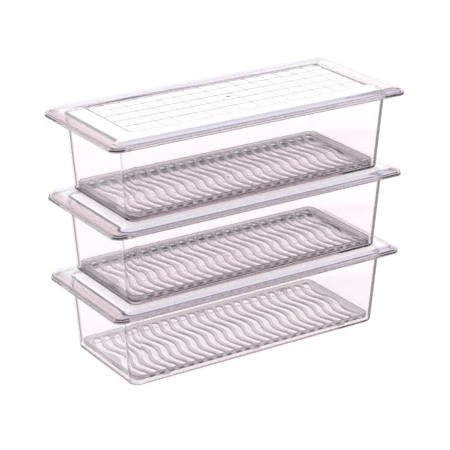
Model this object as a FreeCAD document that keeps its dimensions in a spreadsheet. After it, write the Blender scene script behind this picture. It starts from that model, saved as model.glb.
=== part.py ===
"""Stack of three clear fridge bins.

Each bin is a drafted tub with a flanged rim, a drain tray that stands on the tub's floor,
and a lift-off lid whose flat top carries the foot of the next bin.
X runs along a bin, Y across it, Z up.  The origin is the middle of the bottom tub's foot.
"""
import FreeCAD, Part
import math
import os

import Sketcher

LEVELS = ("bottom", "middle", "top")

# ---------------------------------------------------------------- driving dimensions (mm)
DIMENSIONS = (
    ("bin_pitch", 78.0, "height of one closed bin, foot to lid top"),
    # tub
    ("foot_length", 267.0, "outside of the tub at its foot"),
    ("foot_width", 106.5, ""),
    ("foot_corner", 9.5, "plan radius of the tub's corners at the foot"),
    ("mouth_length", 279.0, "outside of the tub at its rim"),
    ("mouth_width", 111.0, ""),
    ("mouth_corner", 10.5, "plan radius of the tub's corners at the rim"),
    ("wall", 1.5, "wall of the tub"),
    ("floor_top", 2.6, "top of the tub's floor above the foot"),
    ("foot_recess", 0.8, "hollow under the floor, inside the foot ring"),
    ("foot_ring", 9.0, "foot ring, from the tub's outside to the hollow"),
    ("foot_round", 3.5, "rounding of the foot's outer edge"),
    ("floor_round", 2.0, "rounding between floor and wall, inside"),
    ("mouth_round", 0.8, "rounding of the inner edge of the rim"),
    # flange round the tub's rim
    ("flange_length", 310.0, "outside of the flange, the widest part of the bin"),
    ("flange_width", 128.0, ""),
    ("flange_corner", 9.0, ""),
    ("flange_top", 72.5, "top of the flange above the foot"),
    ("flange_plate", 2.0, "thickness of the flange"),
    ("flange_lip", 2.6, "height of the turned-down lip"),
    ("lip_wall", 1.8, "thickness of the turned-down lip"),
    ("flange_root", 0.4, "thick root of the flange beside the tub's wall"),
    ("lip_round", 0.4, "rounding of the lip's lower edge"),
    ("bead_gap", 0.6, "clearance between the locating bead on the flange and the lid's edge"),
    ("bead_wall", 1.2, "thickness of the locating bead"),
    ("bead_height", 0.9, "height of the locating bead above the flange"),
    # lid
    ("skirt_inset", 0.8, "the flange stands this far out past the lid"),
    ("skirt_rise", 1.0, "upright part of the lid's edge"),
    ("lid_wall", 1.8, "thickness of the lid"),
    ("seat_length", 288.0, "flat top of the lid, inside its rounded border"),
    ("seat_width", 116.8, ""),
    ("seat_corner", 5.5, ""),
    ("border_crease", 7.0, "slope of the rounded border where it meets the flat top, in degrees"),
    ("border_steps", 6.0, "number of strips down the rounded border"),
    ("cell", 16.7, "side of one square of the lid's grid"),
    ("cell_columns", 15.0, ""),
    ("cell_rows", 5.0, ""),
    ("panel_depth", 0.4, "depth of the gridded panel below the lid's flat top"),
    ("panel_corner", 5.0, ""),
    ("groove_width", 0.9, "groove just inside the panel's outline"),
    ("groove_depth", 0.6, "depth of the groove below the lid's flat top"),
    ("grid_margin", 1.6, "the grid stops this far inside the panel's outline"),
    ("grid_rib", 0.6, "width of the grid's lines"),
    ("grid_height", 0.15, "height of the grid's lines above the panel"),
    ("gate_diameter", 3.6, "moulding gate dimple at the middle of the lid"),
    ("gate_depth", 0.7, "depth of the dimple below the panel"),
    # drain tray
    ("tray_length", 259.0, ""),
    ("tray_width", 99.5, ""),
    ("tray_corner", 7.0, ""),
    ("tray_leg", 1.8, "height of the legs under the tray"),
    ("tray_plate", 1.8, "thickness of the tray's plate"),
    ("tray_edge", 2.5, "height of the edge above the plate"),
    ("tray_edge_wall", 1.5, "thickness of the edge"),
    ("slot_pitch", 10.3, ""),
    ("slot_count", 24.0, ""),
    ("slot_width", 5.8, ""),
    ("slot_wave", 24.0, "half a wave of a slot, measured across the tray"),
    ("slot_reach", 43.5, "a slot's round ends lie this far either side of the tray's middle"),
    ("slot_sway", 2.8, "side to side sway of a slot from its middle line"),
    ("leg_length", 8.0, ""),
    ("leg_wall", 2.0, ""),
    ("leg_inset", 1.0, "legs stand this far inside the tray's edge"),
    ("leg_pitch", 97.0, "spacing of the three legs along each side"),
)

doc = FreeCAD.newDocument("fridge_bins")
sheet = doc.addObject("Spreadsheet::Sheet", "sheet")
sheet.Label = "driving_dimensions"
for row, (alias, value, note) in enumerate(DIMENSIONS, start=1):
    sheet.set("A%d" % row, alias)
    sheet.set("B%d" % row, str(value))
    sheet.set("C%d" % row, note)
    sheet.setAlias("B%d" % row, alias)
doc.recompute()


def size(alias):
    """Value of one driving dimension."""
    return float(sheet.get(alias))


def bound(formula):
    """Formula with each driving dimension's name written as a reference to the sheet."""
    words = formula.replace("(", " ( ").replace(")", " ) ").split()
    names = {alias for alias, value, note in DIMENSIONS}
    return " ".join("sheet." + word if word in names else word for word in words)


def value_of(formula):
    """Number that a formula in the driving dimensions comes to."""
    total = sheet.evalExpression(bound(formula))
    return float(getattr(total, "Value", total))


# ---------------------------------------------------------------- sketch helpers
def new_body(label, level):
    """Empty body for one piece, lifted to its place in the stack."""
    body = doc.addObject("PartDesign::Body", label)
    body.Label = label
    body.setExpression("Placement.Base.z", "%d * sheet.bin_pitch" % level)
    return body


def plan_sketch(body, name, height):
    """Sketch on the body's XY plane, raised to a height given as a formula."""
    sketch = body.newObject("Sketcher::SketchObject", body.Name + "_" + name)
    plane = [item for item in body.Origin.OriginFeatures if item.Role == "XY_Plane"][0]
    sketch.AttachmentSupport = [(plane, "")]
    sketch.MapMode = "FlatFace"
    sketch.setExpression("AttachmentOffset.Base.z", bound(height))
    return sketch


def bind(sketch, constraint, name, formula):
    """Add a size constraint and bind it to a formula."""
    index = sketch.addConstraint(constraint)
    sketch.renameConstraint(index, name)
    sketch.setExpression("Constraints." + name, bound(formula))


def add_rounded_rectangle(sketch, length, width, corner, tag=""):
    """Rectangle with rounded corners about the sketch's origin; sizes are formulas."""
    half_x = value_of(length) / 2
    half_y = value_of(width) / 2
    radius = value_of(corner)
    up = FreeCAD.Vector(0, 0, 1)
    first = sketch.GeometryCount
    corners = ((1, -1), (1, 1), (-1, 1), (-1, -1))
    for turn, (side_x, side_y) in enumerate(corners):
        centre = FreeCAD.Vector(side_x * (half_x - radius), side_y * (half_y - radius), 0)
        start = (turn - 1) * math.pi / 2
        circle = Part.Circle(centre, up, radius)
        arc = Part.ArcOfCircle(circle, start, start + math.pi / 2)
        sketch.addGeometry(arc, False)
    for turn in range(4):
        arc = sketch.Geometry[first + turn]
        following = sketch.Geometry[first + (turn + 1) % 4]
        sketch.addGeometry(Part.LineSegment(arc.EndPoint, following.StartPoint), False)
    for turn in range(4):
        line = first + 4 + turn
        sketch.addConstraint(Sketcher.Constraint("Tangent", first + turn, 2, line, 1))
        sketch.addConstraint(Sketcher.Constraint("Tangent", line, 2, first + (turn + 1) % 4, 1))
        upright = "Vertical" if turn % 2 == 0 else "Horizontal"
        sketch.addConstraint(Sketcher.Constraint(upright, line))
    for turn in range(1, 4):
        sketch.addConstraint(Sketcher.Constraint("Equal", first, first + turn))
    sketch.addConstraint(Sketcher.Constraint("Symmetric", first, 3, first + 2, 3, -1, 1))
    right, top, left, front = range(first + 4, first + 8)
    bind(sketch, Sketcher.Constraint("DistanceX", left, 1, right, 1, 2 * half_x), "length" + tag, length)
    bind(sketch, Sketcher.Constraint("DistanceY", front, 1, top, 1, 2 * half_y), "width" + tag, width)
    bind(sketch, Sketcher.Constraint("Radius", first, radius), "corner" + tag, corner)


def add_rectangle(sketch, length, width, centre_x, centre_y, tag=""):
    """Plain rectangle whose middle lies at a place given as formulas, both zero or above."""
    half_x = value_of(length) / 2
    half_y = value_of(width) / 2
    middle_x = value_of(centre_x)
    middle_y = value_of(centre_y)
    first = sketch.GeometryCount
    corners = []
    for side_x, side_y in ((-1, -1), (1, -1), (1, 1), (-1, 1)):
        corners.append(FreeCAD.Vector(middle_x + side_x * half_x, middle_y + side_y * half_y, 0))
    for turn in range(4):
        sketch.addGeometry(Part.LineSegment(corners[turn], corners[(turn + 1) % 4]), False)
    for turn in range(4):
        following = first + (turn + 1) % 4
        sketch.addConstraint(Sketcher.Constraint("Coincident", first + turn, 2, following, 1))
        upright = "Horizontal" if turn % 2 == 0 else "Vertical"
        sketch.addConstraint(Sketcher.Constraint(upright, first + turn))
    across = Sketcher.Constraint("DistanceX", first, 1, first, 2, 2 * half_x)
    upwards = Sketcher.Constraint("DistanceY", first + 1, 1, first + 1, 2, 2 * half_y)
    bind(sketch, across, "length" + tag, length)
    bind(sketch, upwards, "width" + tag, width)
    right = "%s + ( %s ) / 2" % (centre_x, length)
    back = "%s + ( %s ) / 2" % (centre_y, width)
    corner = (first + 1, 2)
    bind(sketch, Sketcher.Constraint("DistanceX", -1, 1, *corner, value_of(right)), "right" + tag, right)
    bind(sketch, Sketcher.Constraint("DistanceY", -1, 1, *corner, value_of(back)), "back" + tag, back)


def rounded_sketch(body, name, height, length, width, corner):
    """Sketch that holds one rounded rectangle."""
    sketch = plan_sketch(body, name, height)
    add_rounded_rectangle(sketch, length, width, corner)
    return sketch


def ring_sketch(body, name, height, outside, inside):
    """Sketch that holds a rounded rectangle with a rounded rectangular hole."""
    sketch = plan_sketch(body, name, height)
    add_rounded_rectangle(sketch, *outside)
    add_rounded_rectangle(sketch, *inside, tag="_inside")
    return sketch


def inside_of(outline, wall):
    """Formulas for a rounded rectangle that lies a wall's thickness inside another."""
    length, width, corner = outline
    return ("%s - 2 * %s" % (length, wall), "%s - 2 * %s" % (width, wall), "%s - %s" % (corner, wall))


# ---------------------------------------------------------------- feature helpers
def extrude(body, kind, name, sketch, depth, reverse=False):
    """Pad or pocket of a sketch.  A plain pad grows up and a plain pocket cuts down."""
    feature = body.newObject("PartDesign::" + kind, body.Name + "_" + name)
    feature.Profile = sketch
    feature.setExpression("Length", bound(depth))
    feature.Reversed = reverse
    check_growth(body, feature, kind == "Pad")
    return feature


def loft(body, kind, name, lower, others):
    """Straight-sided loft from a sketch up through a list of others."""
    feature = body.newObject("PartDesign::" + kind, body.Name + "_" + name)
    feature.Profile = lower
    feature.Sections = others
    feature.Ruled = True
    check_growth(body, feature, kind == "AdditiveLoft")
    return feature


def check_growth(body, feature, adds):
    """Stop when a feature that should add or remove material does not."""
    doc.recompute()
    if feature.BaseFeature is None:
        return
    before = feature.BaseFeature.Shape.Volume
    after = feature.Shape.Volume
    if (after > before + 0.1) != adds or abs(after - before) < 0.1:
        raise RuntimeError("%s changed nothing: %.2f to %.2f" % (feature.Name, before, after))


def spread(body, name, original, direction, length, count):
    """Row of copies of a feature along the sketch's own X or Y axis."""
    row = body.newObject("PartDesign::LinearPattern", body.Name + "_" + name)
    row.Originals = [original]
    row.Direction = (original.Profile[0], [direction])
    row.setExpression("Length", bound(length))
    row.setExpression("Occurrences", bound(count))
    body.Tip = row
    doc.recompute()
    return row


def level_edges(shape, height, half_length):
    """Names of the level edges at a height whose loop reaches out to a half length."""
    names = []
    for index, edge in enumerate(shape.Edges, start=1):
        box = edge.BoundBox
        if abs(box.ZMin - height) > 0.01 or abs(box.ZMax - height) > 0.01:
            continue
        names.append((index, edge))
    loops = Part.sortEdges([edge for index, edge in names])
    chosen = []
    for loop in loops:
        reach = max(edge.BoundBox.XMax for edge in loop)
        if abs(reach - half_length) < 0.05:
            chosen += [index for index, edge in names if any(edge.isSame(other) for other in loop)]
    return ["Edge%d" % index for index in sorted(set(chosen))]


def round_edges(body, name, height, half_length, radius):
    """Fillet the loop of edges at a height, found by how far it reaches along X."""
    base = body.Tip
    edges = level_edges(base.Shape, value_of(height), value_of(half_length))
    if not edges:
        raise RuntimeError("%s: no edges at %s" % (body.Name + "_" + name, height))
    feature = body.newObject("PartDesign::Fillet", body.Name + "_" + name)
    feature.Base = (base, edges)
    feature.setExpression("Radius", bound(radius))
    doc.recompute()
    return feature


# ---------------------------------------------------------------- the pieces of one bin
def make_tub(label, level):
    """Drafted tub with a hollow foot and a flange with a turned-down lip."""
    body = new_body(label, level)
    foot = rounded_sketch(body, "foot", "0", "foot_length", "foot_width", "foot_corner")
    mouth = rounded_sketch(body, "mouth", "flange_top", "mouth_length", "mouth_width", "mouth_corner")
    loft(body, "AdditiveLoft", "outside", foot, [mouth])

    flange = rounded_sketch(
        body, "flange_outline", "flange_top - flange_lip", "flange_length", "flange_width", "flange_corner")
    extrude(body, "Pad", "flange", flange, "flange_lip")
    channel = ring_sketch(
        body, "channel_outline", "flange_top - flange_lip",
        ("flange_length - 2 * lip_wall", "flange_width - 2 * lip_wall", "flange_corner - lip_wall"),
        ("mouth_length + 2 * flange_root", "mouth_width + 2 * flange_root", "mouth_corner + flange_root"))
    extrude(body, "Pocket", "channel", channel, "flange_lip - flange_plate", reverse=True)

    bead = ("flange_length - 2 * skirt_inset - 2 * lid_wall - 2 * bead_gap",
            "flange_width - 2 * skirt_inset - 2 * lid_wall - 2 * bead_gap",
            "flange_corner - skirt_inset - lid_wall - bead_gap")
    bead_outline = ring_sketch(body, "bead_outline", "flange_top", bead, inside_of(bead, "bead_wall"))
    extrude(body, "Pad", "bead", bead_outline, "bead_height")

    inside_foot = inside_of(("foot_length", "foot_width", "foot_corner"), "wall")
    inside_mouth = inside_of(("mouth_length", "mouth_width", "mouth_corner"), "wall")
    inner_foot = rounded_sketch(body, "inner_foot", "floor_top", *inside_foot)
    inner_mouth = rounded_sketch(body, "inner_mouth", "flange_top", *inside_mouth)
    loft(body, "SubtractiveLoft", "inside", inner_foot, [inner_mouth])

    hollow = rounded_sketch(
        body, "hollow_outline", "0", "foot_length - 2 * foot_ring", "foot_width - 2 * foot_ring",
        "foot_corner - wall")
    extrude(body, "Pocket", "foot_hollow", hollow, "foot_recess", reverse=True)

    round_edges(body, "foot_rounding", "0", "foot_length / 2", "foot_round")
    round_edges(body, "floor_rounding", "floor_top", "foot_length / 2 - wall", "floor_round")
    round_edges(body, "mouth_rounding", "flange_top", "mouth_length / 2 - wall", "mouth_round")
    round_edges(body, "lip_rounding", "flange_top - flange_lip", "flange_length / 2", "lip_round")
    return body


def border_sections(body, name, drop, inset):
    """Outlines up the lid's rounded border, from its upright edge to its flat top.

    The border's cross-section is a quarter of an ellipse.  Drop and inset are formulas that
    move the whole border down and inwards, for the hollow under it.
    """
    crease = math.radians(size("border_crease"))
    steps = int(size("border_steps"))
    flange = ("flange_length", "flange_width", "flange_corner")
    skirt = ["( %s )" % formula for formula in inside_of(flange, "skirt_inset")]
    seat = ("seat_length", "seat_width", "seat_corner")
    lowest = "( flange_top + skirt_rise )"
    sections = []
    for step in range(steps + 1):
        angle = math.pi / 2 - (math.pi / 2 - crease) * step / steps
        share = (math.sin(angle) - math.sin(crease)) / (1 - math.sin(crease))
        rise = math.cos(angle) / math.cos(crease)
        outline = []
        for outer, inner in zip(skirt, seat):
            outline.append("%s + ( %s - %s ) * %.6f" % (inner, outer, inner, share))
        height = "%s + ( bin_pitch - %s - %s ) * %.6f" % (lowest, drop, lowest, rise)
        sections.append(rounded_sketch(body, "%s_%d" % (name, step), height, *inside_of(outline, inset)))
    return sections


def make_lid(label, level):
    """Lid with an upright edge, a rounded border, and a flat top with a grid."""
    body = new_body(label, level)
    outer = inside_of(("flange_length", "flange_width", "flange_corner"), "skirt_inset")
    skirt = rounded_sketch(body, "skirt_outline", "flange_top", *outer)
    extrude(body, "Pad", "skirt", skirt, "skirt_rise")
    lowest, *others = border_sections(body, "border", "0", "0")
    loft(body, "AdditiveLoft", "border", lowest, others)

    hollow = rounded_sketch(body, "hollow_outline", "flange_top", *inside_of(outer, "lid_wall"))
    extrude(body, "Pocket", "skirt_hollow", hollow, "skirt_rise", reverse=True)
    lowest, *others = border_sections(body, "hollow", "lid_wall", "lid_wall")
    loft(body, "SubtractiveLoft", "border_hollow", lowest, others)
    add_grid(body)
    return body


def add_grid(body):
    """Shallow gridded panel in the lid's top, with a moulding gate dimple at its middle."""
    panel = rounded_sketch(
        body, "panel_outline", "bin_pitch", "cell_columns * cell", "cell_rows * cell", "panel_corner")
    extrude(body, "Pocket", "panel", panel, "panel_depth")
    edge = ("cell_columns * cell", "cell_rows * cell", "panel_corner")
    floor = "bin_pitch - panel_depth"
    groove = ring_sketch(body, "groove_outline", floor, edge, inside_of(edge, "groove_width"))
    extrude(body, "Pocket", "groove", groove, "groove_depth - panel_depth")

    column_outline = plan_sketch(body, "column_outline", floor)
    grid_length = "( cell_columns * cell - 2 * grid_margin )"
    grid_width = "( cell_rows * cell - 2 * grid_margin )"
    last_column = "( cell_columns / 2 - 1 ) * %s / cell_columns" % grid_length
    add_rectangle(column_outline, "grid_rib", grid_width, last_column, "0")
    column = extrude(body, "Pad", "column", column_outline, "grid_height")
    columns = spread(body, "columns", column, "H_Axis", "2 * " + last_column, "cell_columns - 1")
    columns.Reversed = True

    row_outline = plan_sketch(body, "row_outline", floor)
    last_row = "( cell_rows / 2 - 1 ) * %s / cell_rows" % grid_width
    add_rectangle(row_outline, grid_length, "grid_rib", "0", last_row)
    row = extrude(body, "Pad", "row", row_outline, "grid_height")
    rows = spread(body, "rows", row, "V_Axis", "2 * " + last_row, "cell_rows - 1")
    rows.Reversed = True

    gate_outline = plan_sketch(body, "gate_outline", floor)
    disc = Part.Circle(FreeCAD.Vector(0, 0, 0), FreeCAD.Vector(0, 0, 1), size("gate_diameter") / 2)
    gate_outline.addGeometry(disc, False)
    gate_outline.addConstraint(Sketcher.Constraint("Coincident", 0, 3, -1, 1))
    bind(gate_outline, Sketcher.Constraint("Diameter", 0, size("gate_diameter")), "gate", "gate_diameter")
    extrude(body, "Pocket", "gate_dimple", gate_outline, "gate_depth")


def wave_side(sketch, middle, offset):
    """One side of a wavy slot: tangent arcs that swing either way about a middle line."""
    half_wave, sway = size("slot_wave"), size("slot_sway")
    chord = half_wave / 2
    radius = (chord ** 2 + sway ** 2) / (2 * sway)
    opening = math.asin(chord / radius)
    short = math.asin((2 * half_wave - size("slot_reach")) / radius)
    up = FreeCAD.Vector(0, 0, 1)
    for swing in range(-2, 3):
        bulge = 1 if swing % 2 == 0 else -1
        centre = FreeCAD.Vector(middle + bulge * (sway - radius), swing * half_wave, 0)
        circle = Part.Circle(centre, up, radius + bulge * offset)
        facing = 0 if bulge > 0 else math.pi
        low = short if swing == -2 else facing - opening
        high = -short if swing == 2 else facing + opening
        sketch.addGeometry(Part.ArcOfCircle(circle, low, high), False)
    return middle + sway - radius + radius * math.cos(short), short


def make_tray(label, level):
    """Drain tray: a plate with wavy slots across it, a raised edge and six short legs."""
    body = new_body(label, level)
    outline = ("tray_length", "tray_width", "tray_corner")
    inline = ("tray_length - 2 * tray_edge_wall", "tray_width - 2 * tray_edge_wall",
              "tray_corner - tray_edge_wall")
    plate_bottom = "floor_top + tray_leg"
    plate_outline = rounded_sketch(body, "plate_outline", plate_bottom, *outline)
    extrude(body, "Pad", "plate", plate_outline, "tray_plate")
    edge_outline = ring_sketch(body, "edge_outline", plate_bottom + " + tray_plate", outline, inline)
    extrude(body, "Pad", "edge", edge_outline, "tray_edge")

    slot_outline = plan_sketch(body, "slot_outline", plate_bottom)
    first_slot = -size("slot_pitch") * (size("slot_count") - 1) / 2
    half_slot = size("slot_width") / 2
    add_slot(slot_outline, first_slot, half_slot)
    slot = extrude(body, "Pocket", "slot", slot_outline, "tray_plate", reverse=True)
    spread(body, "slots", slot, "H_Axis", "( slot_count - 1 ) * slot_pitch", "slot_count")

    leg_outline = plan_sketch(body, "leg_outline", plate_bottom)
    leg_middle = "tray_width / 2 - leg_inset - leg_wall / 2"
    add_rectangle(leg_outline, "leg_length", "leg_wall", "leg_pitch", leg_middle)
    leg = extrude(body, "Pad", "leg", leg_outline, "tray_leg", reverse=True)
    legs = body.newObject("PartDesign::MultiTransform", body.Name + "_legs")
    legs.Originals = [leg]
    along = body.newObject("PartDesign::LinearPattern", body.Name + "_legs_along")
    along.Direction = (leg_outline, ["H_Axis"])
    along.Reversed = True
    along.setExpression("Length", bound("2 * leg_pitch"))
    along.Occurrences = 3
    across = body.newObject("PartDesign::Mirrored", body.Name + "_legs_across")
    across.MirrorPlane = (leg_outline, ["H_Axis"])
    legs.Transformations = [along, across]
    body.Tip = legs
    doc.recompute()
    return body


def add_slot(sketch, middle, half_slot):
    """Closed outline of one wavy slot with round ends."""
    wave_side(sketch, middle, half_slot)
    end_x, turn = wave_side(sketch, middle, -half_slot)
    up = FreeCAD.Vector(0, 0, 1)
    for end in (-1, 1):
        circle = Part.Circle(FreeCAD.Vector(end_x, end * size("slot_reach"), 0), up, half_slot)
        start = -turn if end > 0 else math.pi + turn
        sketch.addGeometry(Part.ArcOfCircle(circle, start, start + math.pi), False)


# ---------------------------------------------------------------- build, check and write
pieces = []
for level, name in enumerate(LEVELS):
    pieces.append(make_tub(name + "_tub", level))
    pieces.append(make_tray(name + "_drain_tray", level))
    pieces.append(make_lid(name + "_lid", level))
doc.recompute()

for item in doc.Objects:
    if "Invalid" in item.State or "Error" in item.State:
        raise RuntimeError("%s failed: %s" % (item.Name, item.State))

os.makedirs("parts", exist_ok=True)
for piece in pieces:
    shape = piece.Shape
    if shape.isNull() or not shape.isValid() or len(shape.Solids) != 1:
        raise RuntimeError("%s is not one sound solid" % piece.Label)
    shape.exportStep("parts/%s.step" % piece.Label)
    box = shape.optimalBoundingBox(False)
    print("%-20s %7.1f x %6.1f x %6.1f  z %6.1f to %6.1f  %8.1f mm3" % (
        piece.Label, box.XLength, box.YLength, box.ZLength, box.ZMin, box.ZMax, shape.Volume))
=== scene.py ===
"""Looks of a stack of three clear fridge bins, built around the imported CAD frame."""
import math

import bmesh
import bpy
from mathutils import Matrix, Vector
from mathutils.geometry import tessellate_polygon


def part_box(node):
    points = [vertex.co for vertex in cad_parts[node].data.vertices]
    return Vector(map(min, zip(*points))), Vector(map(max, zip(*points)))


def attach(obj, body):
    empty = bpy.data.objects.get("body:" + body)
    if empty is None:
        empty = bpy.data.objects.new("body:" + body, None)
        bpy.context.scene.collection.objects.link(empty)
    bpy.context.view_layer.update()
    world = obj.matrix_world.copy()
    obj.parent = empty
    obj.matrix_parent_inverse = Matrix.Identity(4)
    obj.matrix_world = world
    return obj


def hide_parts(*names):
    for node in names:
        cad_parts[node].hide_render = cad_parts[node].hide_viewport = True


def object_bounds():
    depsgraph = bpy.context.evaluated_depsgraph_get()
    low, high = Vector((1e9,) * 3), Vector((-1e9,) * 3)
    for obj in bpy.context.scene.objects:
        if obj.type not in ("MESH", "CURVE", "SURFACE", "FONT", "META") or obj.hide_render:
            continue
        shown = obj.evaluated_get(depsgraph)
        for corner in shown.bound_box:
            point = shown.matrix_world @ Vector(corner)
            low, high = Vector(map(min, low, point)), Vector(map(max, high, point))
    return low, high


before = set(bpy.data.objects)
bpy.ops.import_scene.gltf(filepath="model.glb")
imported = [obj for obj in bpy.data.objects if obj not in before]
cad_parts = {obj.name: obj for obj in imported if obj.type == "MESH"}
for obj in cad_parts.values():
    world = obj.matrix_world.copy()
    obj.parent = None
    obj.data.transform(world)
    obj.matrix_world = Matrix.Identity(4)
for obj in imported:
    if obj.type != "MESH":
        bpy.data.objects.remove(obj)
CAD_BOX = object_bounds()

LEVELS = ("bottom", "middle", "top")
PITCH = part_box("middle_tub")[0].z * 1000  # mm from one bin's foot to the next

CORNER_STEPS = 20
FILLET_STEPS = 5

# Outlines in mm, as half length, half width and corner radius.
FOOT = (133.5, 53.25, 9.5)
MOUTH = (139.5, 55.5, 10.5)
FLANGE = (155.0, 64.0, 9.0)
LID = (154.2, 63.2, 8.2)
SEAT = (144.0, 58.4, 5.5)
TRAY = (129.5, 49.75, 7.0)
BEAD = (151.8, 60.8, 5.8)

# Heights above a bin's foot and thicknesses, in mm.
WALL = 1.5
FLOOR_TOP = 2.6
FLANGE_TOP = 72.5
FLANGE_PLATE = 2.0
FLANGE_LIP = 2.6
LIP_WALL = 1.8
FLANGE_ROOT = 0.4
BEAD_WIDTH = 1.2
BEAD_HEIGHT = 0.9
LID_TOP = 78.0
LID_WALL = 1.8
LID_EDGE = FLANGE_TOP + 1.0  # top of the lid's upright edge
PANEL_DEPTH = 0.4


# ---------------------------------------------------------------- shapes
def grow(outline, amount):
    """Outline moved outwards by an amount, all round."""
    return tuple(size + amount for size in outline)


def between(first, second, share):
    """Outline part of the way from one outline to another."""
    return tuple(a + (b - a) * share for a, b in zip(first, second))


def wall_outline(height, inset=0.0):
    """Outline of the tub's drafted wall at a height."""
    return grow(between(FOOT, MOUTH, height / FLANGE_TOP), -inset)


def inner_outline(height):
    """Outline of the inside of the tub's wall at a height."""
    share = (height - FLOOR_TOP) / (FLANGE_TOP - FLOOR_TOP)
    return between(grow(FOOT, -WALL), grow(MOUTH, -WALL), share)


def ring(outline, height, steps=CORNER_STEPS):
    """Closed loop of points round a rounded rectangle, anticlockwise from above."""
    half_x, half_y, radius = outline
    points = []
    for turn, (side_x, side_y) in enumerate(((1, 1), (-1, 1), (-1, -1), (1, -1))):
        centre_x = side_x * (half_x - radius)
        centre_y = side_y * (half_y - radius)
        for step in range(steps + 1):
            angle = math.pi / 2 * (turn + step / steps)
            x = centre_x + radius * math.cos(angle)
            y = centre_y + radius * math.sin(angle)
            points.append((x, y, height))
    return points


def moved(points, by_x, by_y=0.0):
    """Points shifted sideways."""
    return [(x + by_x, y + by_y, z) for x, y, z in points]


def turn_points(radius, start, end, steps=FILLET_STEPS):
    """Offsets (outwards, upwards) along an arc from one angle to another, in degrees."""
    points = []
    for step in range(steps + 1):
        angle = math.radians(start + (end - start) * step / steps)
        points.append((radius * math.cos(angle), radius * math.sin(angle)))
    return points


class Skin:
    """Mesh made of rings joined one to the next, in mm."""

    def __init__(self):
        self.bm = bmesh.new()

    def loop(self, points):
        return [self.bm.verts.new(point) for point in points]

    def join(self, first, second):
        """Faces between two loops with the same number of points."""
        count = len(first)
        for index in range(count):
            following = (index + 1) % count
            self.bm.faces.new((first[index], first[following], second[following], second[index]))

    def run(self, rings):
        """Join rings in a row and give back the first and last loops."""
        loops = [self.loop(points) for points in rings]
        for first, second in zip(loops, loops[1:]):
            self.join(first, second)
        return loops[0], loops[-1]

    def cap(self, loop, flip=False):
        self.bm.faces.new(reversed(loop) if flip else loop)

    def plate(self, loops, flip=False):
        """Flat face with holes: the first loop is its edge and the others are holes."""
        outlines = [[vert.co for vert in loop] for loop in loops]
        verts = [vert for loop in loops for vert in loop]
        for triangle in tessellate_polygon(outlines):
            corners = [verts[index] for index in triangle]
            self.bm.faces.new(reversed(corners) if flip else corners)

    def finish(self, name, body, level, material, base=0.0):
        """Turn the skin into a piece that stands for its CAD node and rides on its body."""
        bmesh.ops.recalc_face_normals(self.bm, faces=self.bm.faces)
        for face in self.bm.faces:
            face.smooth = True
        lift = level * PITCH + base
        for vert in self.bm.verts:
            vert.co = Vector((vert.co.x, vert.co.y, vert.co.z + lift)) / 1000
        mesh = bpy.data.meshes.new(name)
        self.bm.to_mesh(mesh)
        self.bm.free()
        mesh.materials.append(material)
        piece = bpy.data.objects.new(name, mesh)
        bpy.context.scene.collection.objects.link(piece)
        normals = piece.modifiers.new("even_shading", "WEIGHTED_NORMAL")
        normals.mode = "FACE_AREA"
        normals.weight = 100
        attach(piece, body)
        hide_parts(body)


def arc_rings(outline, offset, height, radius, start, end):
    """Rings along a fillet whose centre lies at an offset from an outline."""
    rings = []
    for out, up in turn_points(radius, start, end):
        rings.append(ring(grow(outline, offset + out), height + up))
    return rings


def make_tub(level, name, material):
    """Tub: underside, outside wall, flange with its turned-down lip, inside wall and floor."""
    skin = Skin()
    hollow = (124.5, 44.25, 7.5)
    recess = 0.8
    foot_round = 3.5
    small = 0.35
    rings = [ring(grow(hollow, -small), recess)]
    rings += arc_rings(hollow, -small, recess - small, small, 90, 0)[1:]
    rings += arc_rings(hollow, small, small, small, 180, 270)
    foot = wall_outline(0)
    draft = 0.14  # how far the drafted wall has moved out at the top of the foot's rounding
    rings += arc_rings(foot, draft - foot_round, foot_round, foot_round, 270, 360)
    root_bottom = FLANGE_TOP - FLANGE_LIP
    under = FLANGE_TOP - FLANGE_PLATE
    flare = 0.3
    rings += arc_rings(wall_outline(root_bottom - flare), flare, root_bottom - flare, flare, 180, 90)
    root = grow(MOUTH, FLANGE_ROOT)
    rings += arc_rings(root, -small, root_bottom + small, small, 270, 360)
    rings += arc_rings(root, small, under - small, small, 180, 90)
    channel = grow(FLANGE, -LIP_WALL)
    rings += arc_rings(channel, -small, under - small, small, 90, 0)
    edge, sharp = 0.8, 0.4
    rings += arc_rings(channel, sharp, root_bottom + sharp, sharp, 180, 270)
    rings += arc_rings(FLANGE, -sharp, root_bottom + sharp, sharp, 270, 360)
    rings += arc_rings(FLANGE, -edge, FLANGE_TOP - edge, edge, 0, 90)
    bead_top = FLANGE_TOP + BEAD_HEIGHT
    rings += arc_rings(BEAD, small, FLANGE_TOP + small, small, 270, 180)
    rings += arc_rings(BEAD, -small, bead_top - small, small, 0, 90)
    rings += arc_rings(grow(BEAD, -BEAD_WIDTH), small, bead_top - small, small, 90, 180)
    rings += arc_rings(grow(BEAD, -BEAD_WIDTH), -small, FLANGE_TOP + small, small, 360, 270)
    mouth = grow(MOUTH, -WALL)
    rings += arc_rings(mouth, edge, FLANGE_TOP - edge, edge, 90, 180)
    floor_round = 2.0
    bend = FLOOR_TOP + floor_round
    rings += arc_rings(inner_outline(bend), -floor_round, bend, floor_round, 0, -90)
    under_loop, floor_loop = skin.run(rings)
    skin.cap(under_loop, flip=True)
    skin.cap(floor_loop)
    skin.finish(name + "_tub_shell", name + "_tub", level, material)


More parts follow.
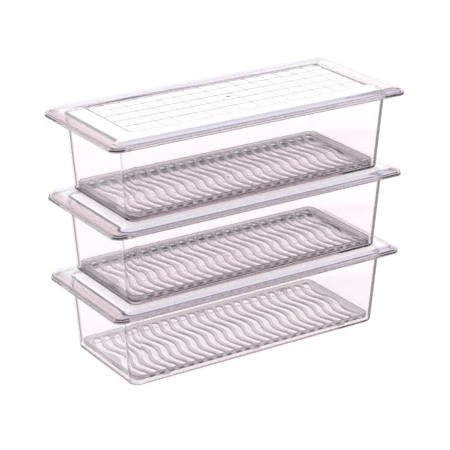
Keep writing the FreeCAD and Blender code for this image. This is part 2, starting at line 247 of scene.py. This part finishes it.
def roll_rings(inset, steps=14):
    """Rings down the lid's rolled border, from its flat top to its upright edge.

    An inset moves the border inwards and its top down, for the border's underside.
    """
    crease = math.radians(7)
    height = LID_TOP - inset - LID_EDGE
    rings = []
    for step in range(steps + 1):
        angle = crease + (math.pi / 2 - crease) * step / steps
        share = (math.sin(angle) - math.sin(crease)) / (1 - math.sin(crease))
        rise = math.cos(angle) / math.cos(crease)
        rings.append(ring(grow(between(SEAT, LID, share), -inset), LID_EDGE + height * rise))
    return rings


def dimple_rings(radius, depth, level, steps=24):
    """Rings of a round moulding gate dimple, from its rim to its bottom."""
    rings = []
    for inset, share in ((0.0, 0.0), (0.15, 0.5), (0.6, 1.0)):
        size, height = radius - inset, level - depth * share
        angles = [math.tau * step / steps for step in range(steps)]
        rings.append([(size * math.cos(angle), size * math.sin(angle), height) for angle in angles])
    return rings


def make_lid(level, name, material):
    """Lid: gridded panel, flat seat, rolled border and upright edge."""
    skin = Skin()
    cell, columns, rows = 16.7, 15, 5
    panel = (cell * columns / 2, cell * rows / 2, 5.0)
    margin = 1.6
    step_x, step_y = cell - 2 * margin / columns, cell - 2 * margin / rows
    panel_level = LID_TOP - PANEL_DEPTH
    net_level = panel_level + 0.15

    # Top: seat, groove round the panel, and the cells sunk between its grid lines.
    groove, groove_depth = 0.9, 0.6
    groove_floor = LID_TOP - groove_depth
    profile = ((0.0, LID_TOP), (0.4, groove_floor), (0.6, groove_floor), (1.0, net_level))
    seat_edge, panel_edge = skin.run([ring(grow(panel, -groove * share), z) for share, z in profile])
    cells = []
    line, slope = 0.3, 0.15
    cell_round, corner_round = 0.9, 4.5
    dimple_radius, dimple_depth = 1.8, 0.7
    for column in range(columns):
        for row in range(rows):
            at_corner = column in (0, columns - 1) and row in (0, rows - 1)
            radius = corner_round if at_corner else cell_round
            outline = (step_x / 2 - line, step_y / 2 - line, radius)
            centre_x = (column - (columns - 1) / 2) * step_x
            centre_y = (row - (rows - 1) / 2) * step_y
            high = moved(ring(outline, net_level, 3), centre_x, centre_y)
            low = moved(ring(grow(outline, -slope), panel_level, 3), centre_x, centre_y)
            high_loop, low_loop = skin.run([high, low])
            cells.append(high_loop)
            if column == columns // 2 and row == rows // 2:
                rim, bottom = skin.run(dimple_rings(dimple_radius, dimple_depth, panel_level))
                skin.cap(bottom)
                skin.plate([low_loop, rim])
            else:
                skin.cap(low_loop)
    skin.plate([panel_edge] + cells)

    # Border and upright edge.
    border = roll_rings(0.0)
    edge = 0.5
    border += arc_rings(LID, -edge, FLANGE_TOP + edge, edge, 0, -90)
    inner = grow(LID, -LID_WALL)
    border += arc_rings(inner, edge, FLANGE_TOP + edge, edge, 270, 180)
    border += roll_rings(LID_WALL)[::-1]
    border_top, under_edge = skin.run(border)
    skin.plate([border_top, seat_edge])
    skin.cap(under_edge, flip=True)
    skin.finish(name + "_lid_shell", name + "_lid", level, material)


def slot_line(half_wave=24.0, sway=2.8, reach=43.5, steps=8):
    """Middle line of a wavy slot: points and the way each one faces."""
    chord = half_wave / 2
    radius = (chord ** 2 + sway ** 2) / (2 * sway)
    opening = math.asin(chord / radius)
    short = math.asin((2 * half_wave - reach) / radius)
    line = []
    for swing in range(-2, 3):
        bulge = 1 if swing % 2 == 0 else -1
        low = short if swing == -2 else -opening
        high = -short if swing == 2 else opening
        count = steps if abs(swing) < 2 else steps // 3
        for step in range(count + 1):
            if step == 0 and line:
                continue
            angle = low + (high - low) * step / count
            x = bulge * (sway - radius + radius * math.cos(angle))
            y = swing * half_wave + radius * math.sin(angle)
            line.append((x, y, math.cos(angle), bulge * math.sin(angle)))
    return line


def slot_ring(line, centre_x, half, height, steps=8):
    """Outline of a wavy slot with round ends."""
    points = [(x + half * nx, y + half * ny, height) for x, y, nx, ny in line]
    end_x, end_y, way_x, way_y = line[-1]
    turn = math.atan2(way_y, way_x)
    for step in range(1, steps):
        angle = turn + math.pi * step / steps
        points.append((end_x + half * math.cos(angle), end_y + half * math.sin(angle), height))
    points += [(x - half * nx, y - half * ny, height) for x, y, nx, ny in reversed(line)]
    end_x, end_y, way_x, way_y = line[0]
    turn = math.atan2(way_y, way_x)
    for step in range(1, steps):
        angle = turn + math.pi + math.pi * step / steps
        points.append((end_x + half * math.cos(angle), end_y + half * math.sin(angle), height))
    return moved(points, centre_x)


def make_tray(level, name, material):
    """Drain tray: slotted plate, raised edge and legs."""
    skin = Skin()
    leg, plate, rise, edge_wall = 1.8, 1.8, 2.5, 1.5
    low = FLOOR_TOP + leg
    top = low + plate
    rounding = 0.7
    inside = grow(TRAY, -edge_wall)
    small = 0.5
    rings = arc_rings(inside, -small, top + small, small, 270, 360)
    rings += arc_rings(inside, rounding, top + rise - rounding, rounding, 180, 90)
    rings += arc_rings(TRAY, -rounding, top + rise - rounding, rounding, 90, 0)
    rings += arc_rings(TRAY, -rounding, low + rounding, rounding, 0, -90)
    top_edge, under_edge = skin.run(rings)

    line = slot_line()
    pitch, count, half, soft = 10.3, 24, 2.9, 0.6
    top_holes, under_holes = [], []
    for number in range(count):
        centre_x = (number - (count - 1) / 2) * pitch
        rings = []
        for out, up in turn_points(soft, 90, 180, 4):
            rings.append(slot_ring(line, centre_x, half + soft + out, top - soft + up))
        for out, up in turn_points(soft, 180, 270, 4):
            rings.append(slot_ring(line, centre_x, half + soft + out, low + soft + up))
        first, last = skin.run(rings)
        top_holes.append(first)
        under_holes.append(last)
    skin.plate([top_edge] + top_holes)
    half_length, half_width, radius, bevel = 4.0, 1.0, 0.5, 0.3
    for centre_x in (-97.0, 0.0, 97.0):
        for side_y in (-1, 1):
            centre_y = side_y * (TRAY[1] - 2.0)
            rings = []
            for inset, height in ((0, low), (0, FLOOR_TOP + bevel), (bevel, FLOOR_TOP)):
                outline = (half_length - inset, half_width - inset, radius - inset / 2)
                rings.append(moved(ring(outline, height, 3), centre_x, centre_y))
            first, last = skin.run(rings)
            under_holes.append(first)
            skin.cap(last, flip=True)
    skin.plate([under_edge] + under_holes, flip=True)
    skin.finish(name + "_tray_shell", name + "_drain_tray", level, material)


# ---------------------------------------------------------------- materials
def feed(tree, socket, value):
    """Set a socket to a value, or link it to another node's output."""
    if isinstance(value, bpy.types.NodeSocket):
        tree.links.new(value, socket)
    elif isinstance(value, tuple):
        socket.default_value = (*value, 1)
    else:
        socket.default_value = value


def sums(tree, operation, first, second=0.0):
    """Output of a sum on one or two values."""
    node = tree.nodes.new("ShaderNodeMath")
    node.operation = operation
    feed(tree, node.inputs[0], first)
    feed(tree, node.inputs[1], second)
    return node.outputs[0]


def fade(tree, value, start, end, low=0.0, high=1.0):
    """Value brought from one range to another, and held at its ends."""
    node = tree.nodes.new("ShaderNodeMapRange")
    for name, number in (("From Min", start), ("From Max", end), ("To Min", low), ("To Max", high)):
        node.inputs[name].default_value = number
    tree.links.new(value, node.inputs["Value"])
    return node.outputs[0]


def blend(tree, share, first, second):
    """Colour part of the way from one colour to another."""
    node = tree.nodes.new("ShaderNodeMix")
    node.data_type = "RGBA"
    feed(tree, node.inputs["Factor"], share)
    feed(tree, node.inputs["A"], first)
    feed(tree, node.inputs["B"], second)
    return node.outputs["Result"]


def parts(tree, vector):
    """The three numbers of a vector, without their signs."""
    node = tree.nodes.new("ShaderNodeSeparateXYZ")
    tree.links.new(vector, node.inputs[0])
    return [sums(tree, "ABSOLUTE", node.outputs[axis]) for axis in "XYZ"]


def clear_plastic(name, absorbed, colour):
    """Clear moulded plastic: tinted at its surface by a colour, which on the lids and tubs also carries
    painted shade, and taking up light with depth.
    """
    material = bpy.data.materials.new(name)
    material.use_nodes = True
    tree = material.node_tree
    tree.nodes.clear()
    out = tree.nodes.new("ShaderNodeOutputMaterial")
    skin = tree.nodes.new("ShaderNodeBsdfPrincipled")
    skin.inputs["IOR"].default_value = 1.49
    skin.inputs["Transmission Weight"].default_value = 1.0
    tree.links.new(skin.outputs[0], out.inputs["Surface"])
    place = tree.nodes.new("ShaderNodeTexCoord").outputs["Object"]
    feed(tree, skin.inputs["Base Color"], colour(tree, place))

    haze = tree.nodes.new("ShaderNodeTexNoise")
    haze.inputs["Scale"].default_value = 60.0
    haze.inputs["Detail"].default_value = 3.0
    tree.links.new(place, haze.inputs["Vector"])
    tree.links.new(fade(tree, haze.outputs[0], 0.35, 0.7, 0.002, 0.015), skin.inputs["Roughness"])
    ripple = tree.nodes.new("ShaderNodeTexNoise")
    ripple.inputs["Scale"].default_value = 22.0
    ripple.inputs["Detail"].default_value = 1.0
    tree.links.new(place, ripple.inputs["Vector"])
    bump = tree.nodes.new("ShaderNodeBump")
    bump.inputs["Strength"].default_value = 0.02
    bump.inputs["Distance"].default_value = 0.001
    tree.links.new(ripple.outputs[0], bump.inputs["Height"])
    tree.links.new(bump.outputs[0], skin.inputs["Normal"])

    body = tree.nodes.new("ShaderNodeVolumeAbsorption")
    strongest = max(absorbed) * 1.05
    body.inputs["Color"].default_value = (*[1 - share / strongest for share in absorbed], 1)
    body.inputs["Density"].default_value = strongest
    tree.links.new(body.outputs[0], out.inputs["Volume"])
    return material


SEAT_TINT = (1.0, 1.0, 1.0)
# Painted shade for the lid's sloped faces: faintly rosy on the end borders, lilac on the side borders
# and grey on the grid lines.
END_BORDER_PAINTED_SHADE = (0.955, 0.875, 0.88)
SIDE_BORDER_PAINTED_SHADE = (0.80, 0.79, 0.87)
GRID_PAINTED_SHADE = (0.52, 0.52, 0.54)
WALL_TINT = (1.0, 0.97, 0.985)
FLANGE_TINT = (0.93, 0.905, 0.925)
# Painted shade for the tubs' rounded wall corners where they are seen edge on.
CORNER_PAINTED_SHADE = (0.03, 0.03, 0.04)
TRAY_TINTS = ((0.62, 0.59, 0.61), (0.69, 0.66, 0.68))


def lid_colour(tree, place):
    """Clear on the flat top, with painted shade on sloped faces: grey on the grid lines, faintly rosy
    on the end borders and lilac on the side borders.
    """
    x, y, z = parts(tree, tree.nodes.new("ShaderNodeNewGeometry").outputs["Normal"])
    # Painted shade on the rolled border and upright edge: rosy where a face points to an end, lilac
    # where it points to a side.
    side = fade(tree, sums(tree, "SUBTRACT", y, x), -0.1, 0.1)
    border = blend(tree, side, END_BORDER_PAINTED_SHADE, SIDE_BORDER_PAINTED_SHADE)
    # Painted shade goes only on sloped faces, and the flat top stays clear.
    slope = fade(tree, z, 0.995, 0.97)
    x, y, z = parts(tree, place)
    # Painted shade: grey on the sloped faces inside the gridded panel, on the grid lines' sides and the
    # gate dimple.
    grid_x, grid_y, edge = 0.1240, 0.0405, 0.0002  # reach of the grid from the middle, in metres
    in_x = fade(tree, x, grid_x, grid_x - edge)
    grid = sums(tree, "MULTIPLY", in_x, fade(tree, y, grid_y, grid_y - edge))
    return blend(tree, slope, SEAT_TINT, blend(tree, grid, border, GRID_PAINTED_SHADE))


def tub_colour(tree, place):
    """Nearly clear, with a faint tint in the flange, and near-black painted shade on the wall's rounded
    corners where they are seen edge on.
    """
    # Painted shade: the colour goes near black on the wall's rounded corners where they are seen edge
    # on, so it follows the view.
    node = tree.nodes.new("ShaderNodeLayerWeight")
    node.inputs["Blend"].default_value = 0.5
    edge_on = fade(tree, node.outputs["Facing"], 0.25, 0.45)
    x, y, z = parts(tree, tree.nodes.new("ShaderNodeNewGeometry").outputs["Normal"])
    corner = fade(tree, sums(tree, "MULTIPLY", x, y), 0.1, 0.3)
    x, y, z = parts(tree, place)
    height = sums(tree, "MODULO", z, PITCH / 1000)
    foot, flange = 0.001, 0.0695  # ends of the plain wall above a bin's foot, in metres
    over_foot = fade(tree, height, foot, foot + 0.002)
    wall = sums(tree, "MULTIPLY", over_foot, fade(tree, height, flange, flange - 0.001))
    dark = sums(tree, "MULTIPLY", sums(tree, "MULTIPLY", edge_on, corner), wall)
    clear = blend(tree, fade(tree, height, flange, flange + 0.001), WALL_TINT, FLANGE_TINT)
    return blend(tree, dark, clear, CORNER_PAINTED_SHADE)


def tray_colour(tree, place):
    """Smoky, with slightly uneven depth of colour."""
    cloud = tree.nodes.new("ShaderNodeTexNoise")
    cloud.inputs["Scale"].default_value = 9.0
    tree.links.new(place, cloud.inputs["Vector"])
    return blend(tree, fade(tree, cloud.outputs[0], 0.3, 0.7), *TRAY_TINTS)


# Light taken up per metre of plastic, in red, green and blue.
TUB = clear_plastic("tub_plastic", (4.0, 6.6, 5.2), tub_colour)
LIDS = clear_plastic("lid_plastic", (6.0, 9.0, 7.0), lid_colour)
TRAYS = clear_plastic("tray_plastic", (20.0, 24.0, 22.0), tray_colour)

for number, name in enumerate(LEVELS):
    make_tub(number, name, TUB)
    make_tray(number, name, TRAYS)
    make_lid(number, name, LIDS)


# ---------------------------------------------------------------- floor, light and camera
def make_floor():
    """Plain floor that glows, so that it goes as white as the backdrop."""
    half = 4  # metres
    gap = 0.0002  # metres under the stack's foot
    corners = [(-half, -half, 0), (half, -half, 0), (half, half, 0), (-half, half, 0)]
    mesh = bpy.data.meshes.new("floor")
    mesh.from_pydata(corners, [], [(0, 1, 2, 3)])
    floor = bpy.data.objects.new("floor", mesh)
    bpy.context.scene.collection.objects.link(floor)
    material = bpy.data.materials.new("floor")
    material.use_nodes = True
    shader = material.node_tree.nodes["Principled BSDF"]
    shader.inputs["Base Color"].default_value = (0.5, 0.5, 0.5, 1)
    shader.inputs["Roughness"].default_value = 0.9
    shader.inputs["Emission Color"].default_value = (1, 1, 1, 1)
    shader.inputs["Emission Strength"].default_value = 0.84
    mesh.materials.append(material)
    floor.location.z = CAD_BOX[0][2] - gap


def make_world():
    """Bright backdrop up to a third of the way overhead, and a dim ceiling above it."""
    world = bpy.data.worlds.new("studio")
    bpy.context.scene.world = world
    world.use_nodes = True
    tree = world.node_tree
    back = tree.nodes["Background"]
    coords = tree.nodes.new("ShaderNodeTexCoord")
    split = tree.nodes.new("ShaderNodeSeparateXYZ")
    tree.links.new(coords.outputs["Generated"], split.inputs[0])
    ramp = tree.nodes.new("ShaderNodeValToRGB")
    ramp.color_ramp.interpolation = "EASE"
    ramp.color_ramp.elements[0].position = 0.44
    ramp.color_ramp.elements[0].color = (1, 1, 1, 1)
    ramp.color_ramp.elements[1].position = 0.52
    ramp.color_ramp.elements[1].color = (0.22, 0.205, 0.23, 1)
    tree.links.new(split.outputs["Z"], ramp.inputs[0])
    tree.links.new(ramp.outputs[0], back.inputs[0])
    back.inputs[1].default_value = 1.1


def make_camera():
    """Camera placed as the photo's, by a fit to points measured in the photo."""
    data = bpy.data.cameras.new("camera")
    camera = bpy.data.objects.new("camera", data)
    bpy.context.scene.collection.objects.link(camera)
    azimuth = math.radians(-32.81)
    elevation = math.radians(23.15)
    distance = 1.6746
    target = Vector((-0.00645, 0.00407, 0.0567))
    back = Vector((math.sin(azimuth) * math.cos(elevation),
                   -math.cos(azimuth) * math.cos(elevation),
                   math.sin(elevation)))
    camera.location = target + back * distance
    camera.rotation_euler = back.to_track_quat("Z", "Y").to_euler()
    focal_pixels, picture_pixels = 1790.5, 450
    data.sensor_width = 36
    data.lens = 36 * focal_pixels / picture_pixels
    data.shift_x = 0.0125
    data.shift_y = 0.1173
    bpy.context.scene.camera = camera


make_floor()
make_world()
make_camera()
scene = bpy.context.scene
scene.view_settings.view_transform = "Standard"
BOUNCES = 96  # light goes round inside clear plastic many times before it comes out
scene.cycles.max_bounces = BOUNCES
scene.cycles.transmission_bounces = BOUNCES
scene.cycles.glossy_bounces = BOUNCES
scene.cycles.transparent_max_bounces = 48
